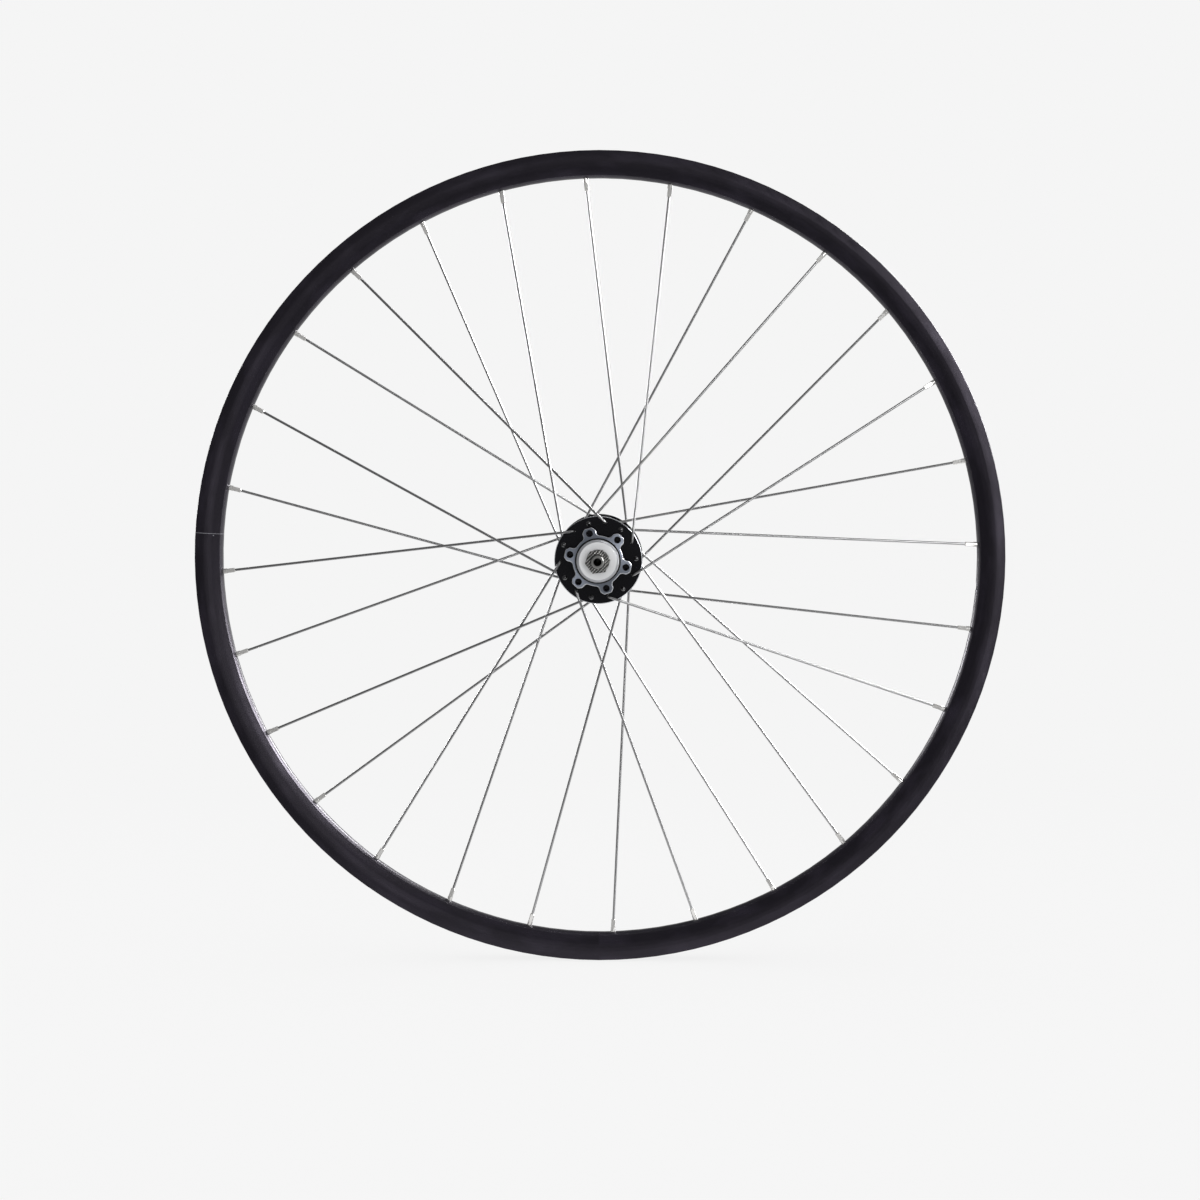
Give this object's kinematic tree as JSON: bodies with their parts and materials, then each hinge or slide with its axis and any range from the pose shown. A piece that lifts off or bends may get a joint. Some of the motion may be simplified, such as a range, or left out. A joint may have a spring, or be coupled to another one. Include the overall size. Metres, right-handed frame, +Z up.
{
  "type": "rear bicycle wheel",
  "caption": "Bare rear bicycle wheel: black double-wall rim, crossed steel spokes, disc-brake hub, hollow axle and cassette freehub.",
  "frame": {"origin": "centre of the axle, midway between the locknut faces, which is also the rim's centre", "axes": "the axle lies along Y with the disc side towards -Y, and +Z is up as in the picture"},
  "size_m": [0.634, 0.146, 0.634],
  "materials": {
    "rim_black": "satin black anodised",
    "hub_black": "glossy black, with lug faces machined bright",
    "plain_alloy": "bare extruded",
    "spoke_steel": "drawn stainless wire",
    "nipple_nickel": "nickel plated, silver",
    "axle_steel": "zinc plated",
    "nut_steel": "bright plated, knurled face",
    "hard_steel": "ground and hardened",
    "ball_steel": "polished",
    "cap_steel": "bright plated sheet",
    "freehub_steel": "plated grey",
    "seal_rubber": "matt black"
  },
  "bodies": {
    "axle_group": {"axle": "axle_steel", "left_cone": "hard_steel", "left_lock_washer": "axle_steel", "left_spacer": "axle_steel", "left_locknut": "nut_steel", "right_cone": "hard_steel", "right_lock_washer": "axle_steel", "right_locknut": "nut_steel"},
    "wheel": {"rim": "rim_black", "rim_joint_sleeve": "plain_alloy", "nipples": "nipple_nickel", "hub_shell": "hub_black", "left_bearing_cup": "hard_steel", "left_dust_cap": "cap_steel", "freehub_core": "hard_steel", "freehub_fixing_bolt": "freehub_steel", "right_dust_seal": "seal_rubber", "pawl_springs": "hard_steel", "spoke_01": "spoke_steel", "spoke_02": "spoke_steel", "spoke_03": "spoke_steel", "spoke_04": "spoke_steel", "spoke_05": "spoke_steel", "spoke_06": "spoke_steel", "spoke_07": "spoke_steel", "spoke_08": "spoke_steel", "spoke_09": "spoke_steel", "spoke_10": "spoke_steel", "spoke_11": "spoke_steel", "spoke_12": "spoke_steel", "spoke_13": "spoke_steel", "spoke_14": "spoke_steel", "spoke_15": "spoke_steel", "spoke_16": "spoke_steel", "spoke_17": "spoke_steel", "spoke_18": "spoke_steel", "spoke_19": "spoke_steel", "spoke_20": "spoke_steel", "spoke_21": "spoke_steel", "spoke_22": "spoke_steel", "spoke_23": "spoke_steel", "spoke_24": "spoke_steel", "spoke_25": "spoke_steel", "spoke_26": "spoke_steel", "spoke_27": "spoke_steel", "spoke_28": "spoke_steel"},
    "freehub_driver": {"freehub_body": "freehub_steel", "freehub_seal": "seal_rubber"},
    "left_ball_ring": {"left_bearing_balls": "ball_steel"},
    "right_ball_ring": {"right_bearing_balls": "ball_steel"},
    "freehub_ball_rings": {"freehub_inboard_balls": "ball_steel", "freehub_outboard_balls": "ball_steel"},
    "first_pawl": {"pawl_1": "hard_steel"},
    "second_pawl": {"pawl_2": "hard_steel"},
    "third_pawl": {"pawl_3": "hard_steel"}
  },
  "joints": [
    {"name": "wheel_spin", "type": "hinge", "parent": "axle_group", "child": "wheel", "pos_m": [0, 0, 0], "axis": [0, 1, 0], "continuous": true},
    {"name": "left_balls_roll", "type": "hinge", "parent": "axle_group", "child": "left_ball_ring", "pos_m": [0, 0, 0], "axis": [0, 1, 0], "continuous": true},
    {"name": "right_balls_roll", "type": "hinge", "parent": "axle_group", "child": "right_ball_ring", "pos_m": [0, 0, 0], "axis": [0, 1, 0], "continuous": true},
    {"name": "freehub_spin", "type": "hinge", "parent": "wheel", "child": "freehub_driver", "pos_m": [0, 0, 0], "axis": [0, 1, 0], "continuous": true},
    {"name": "freehub_balls_roll", "type": "hinge", "parent": "wheel", "child": "freehub_ball_rings", "pos_m": [0, 0, 0], "axis": [0, 1, 0], "continuous": true},
    {"name": "pawl_1_swing", "type": "hinge", "parent": "wheel", "child": "first_pawl", "pos_m": [0, 0.0352, 0.0109], "axis": [0, -1, 0], "range_deg": [0, 9]},
    {"name": "pawl_2_swing", "type": "hinge", "parent": "wheel", "child": "second_pawl", "pos_m": [0.00944, 0.0352, -0.00545], "axis": [0, -1, 0], "range_deg": [0, 9]},
    {"name": "pawl_3_swing", "type": "hinge", "parent": "wheel", "child": "third_pawl", "pos_m": [-0.00944, 0.0352, -0.00545], "axis": [0, -1, 0], "range_deg": [0, 9]}
  ],
  "couplings": [
    {"joint": "left_balls_roll", "follows": "wheel_spin", "ratio": 0.6151},
    {"joint": "right_balls_roll", "follows": "wheel_spin", "ratio": 0.6151},
    {"joint": "freehub_balls_roll", "follows": "freehub_spin", "ratio": 0.5611},
    {"joint": "pawl_2_swing", "follows": "pawl_1_swing", "ratio": 1},
    {"joint": "pawl_3_swing", "follows": "pawl_1_swing", "ratio": 1}
  ]
}
